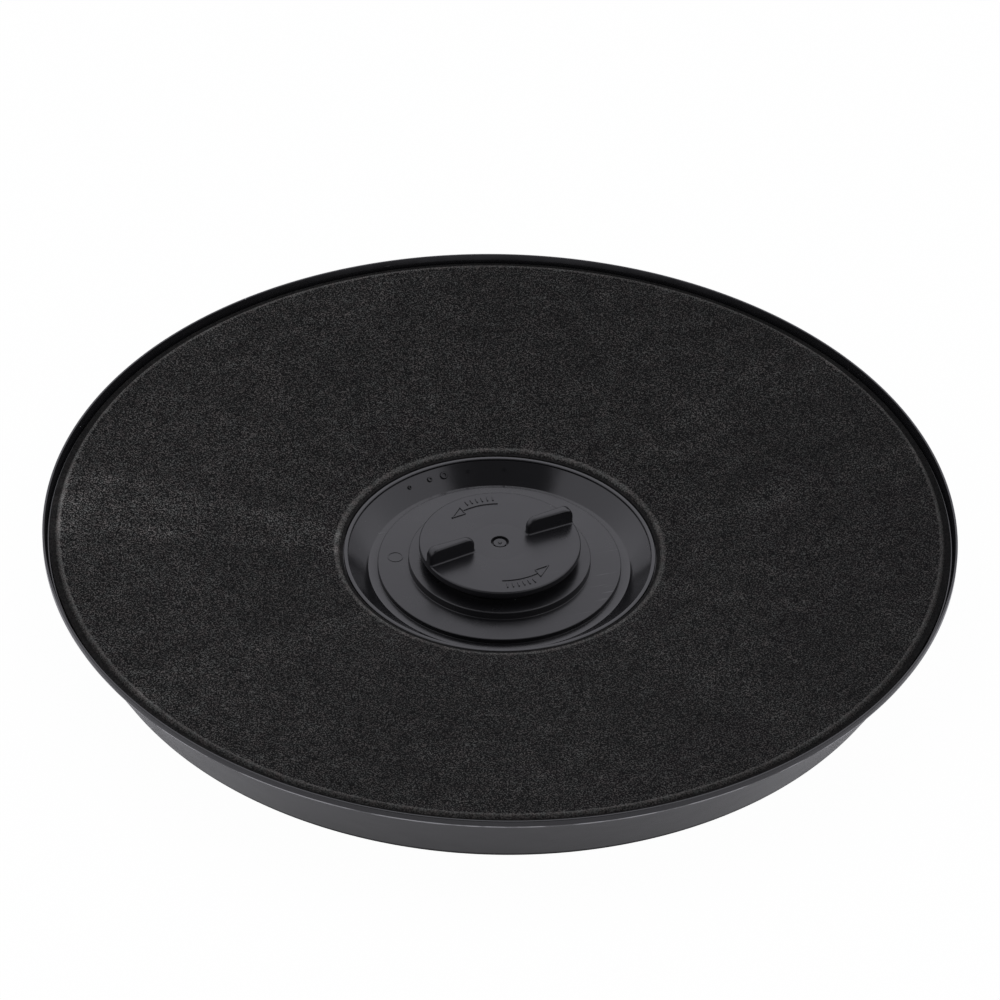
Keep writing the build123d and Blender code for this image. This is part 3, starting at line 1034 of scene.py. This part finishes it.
def stage():
    """A floor just under the foot: white to the eye, dim in reflections, and it takes soft shadows."""
    reach = 6.0
    drop = 0.0002
    mirror_share = 0.10
    camera_share = 0.98
    bm = bmesh.new()
    bm.faces.new([
        bm.verts.new((x * reach, y * reach, -drop)) for x, y in ((-1, -1), (1, -1), (1, 1), (-1, 1))
    ])
    mesh = bpy.data.meshes.new("floor")
    bm.to_mesh(mesh)
    bm.free()
    floor = bpy.data.objects.new("floor", mesh)
    bpy.context.scene.collection.objects.link(floor)
    material = bpy.data.materials.new("floor")
    material.use_nodes = True
    n = Nodes(material.node_tree)
    n.tree.nodes.clear()
    diffuse = n.add("ShaderNodeBsdfDiffuse")
    diffuse.inputs["Color"].default_value = (0.9, 0.9, 0.9, 1)
    glow = n.add("ShaderNodeEmission")
    glow.inputs["Color"].default_value = (1, 1, 1, 1)
    ray = n.add("ShaderNodeLightPath").outputs
    share = n.plus(n.times(ray["Is Camera Ray"], camera_share), n.times(ray["Is Glossy Ray"], mirror_share))
    surface = n.mixed_shaders(share, diffuse.outputs[0], glow.outputs[0])
    n.link(surface, n.add("ShaderNodeOutputMaterial").inputs[0])
    mesh.materials.append(material)


def surroundings():
    """A world that is white to the eye, and lights the object like large softboxes."""
    world = bpy.data.worlds.new("studio")
    bpy.context.scene.world = world
    world.use_nodes = True
    n = Nodes(world.node_tree)
    n.tree.nodes.clear()
    east, north, up = n.split(n.add("ShaderNodeTexCoord").outputs["Generated"])

    def fade(value, low, high):
        return n.remap(value, low, high, ease="SMOOTHSTEP")

    def background(colour, strength):
        node = n.add("ShaderNodeBackground")
        node.inputs["Color"].default_value = colour
        n.link(strength, node.inputs["Strength"])
        return node.outputs[0]

    # Darker round one direction, over the front, which is 30 degrees from straight up
    toward_dark = n.plus(n.times(north, -0.5), n.times(up, 0.866))
    open_sky = n.math("SUBTRACT", 1.0, fade(toward_dark, 0.85, 0.905))
    level = n.plus(1.05, n.times(fade(north, 0.1, 0.7), 0.2), n.times(fade(north, -0.5, -0.85), -0.5))
    sky = n.times(fade(up, 0.18, 0.48), open_sky, level)
    # Weaker boxes near the horizon, at the front, west and east
    low = n.times(fade(up, 0.0, 0.06), fade(up, 0.45, 0.25))
    front_low = n.times(low, fade(north, -0.2, -0.6), 0.5)
    west_low = n.times(low, fade(east, -0.3, -0.6), 0.6)
    east_low = n.times(low, fade(east, 0.3, 0.6), 0.45)
    light = n.plus(sky, n.chain("MAXIMUM", west_low, east_low, front_low), 0.12)
    seen = n.add("ShaderNodeLightPath").outputs["Is Camera Ray"]
    surface = n.mixed_shaders(
        seen, background((0.975, 0.965, 1.05, 1), light), background((1, 1, 1, 1), 1.0),
    )
    n.link(surface, n.add("ShaderNodeOutputWorld").inputs[0])


def camera():
    """The view from the front, above. Distance and shifts are in rim radii."""
    elevation = math.radians(38.0)
    roll = math.radians(1.45)
    distance = 10.0
    shift_right = 0.0022
    shift_up = -0.0337
    sensor_mm = 36
    picture_px = 1000
    focal_px = 4566.0
    forward = Vector((0, math.cos(elevation), -math.sin(elevation)))
    right = Vector((1, 0, 0))
    up = Vector((0, math.sin(elevation), math.cos(elevation)))
    from_eye = (distance * forward + shift_right * right + shift_up * up) * rim_r * MM
    eye = Vector((0, 0, height * MM)) - from_eye
    turned_right = right * math.cos(roll) + up * math.sin(roll)
    turned_up = up * math.cos(roll) - right * math.sin(roll)
    data = bpy.data.cameras.new("photo_view")
    data.sensor_width = sensor_mm
    data.lens = sensor_mm * focal_px / picture_px
    data.clip_start = 0.05
    data.clip_end = 50
    obj = bpy.data.objects.new("photo_view", data)
    turned = Matrix((turned_right, turned_up, -forward)).transposed()
    obj.matrix_world = Matrix.Translation(eye) @ turned.to_4x4()
    bpy.context.scene.collection.objects.link(obj)
    bpy.context.scene.camera = obj


stage()
surroundings()
camera()
bpy.context.scene.view_settings.view_transform = "Standard"

bpy.context.view_layer.update()
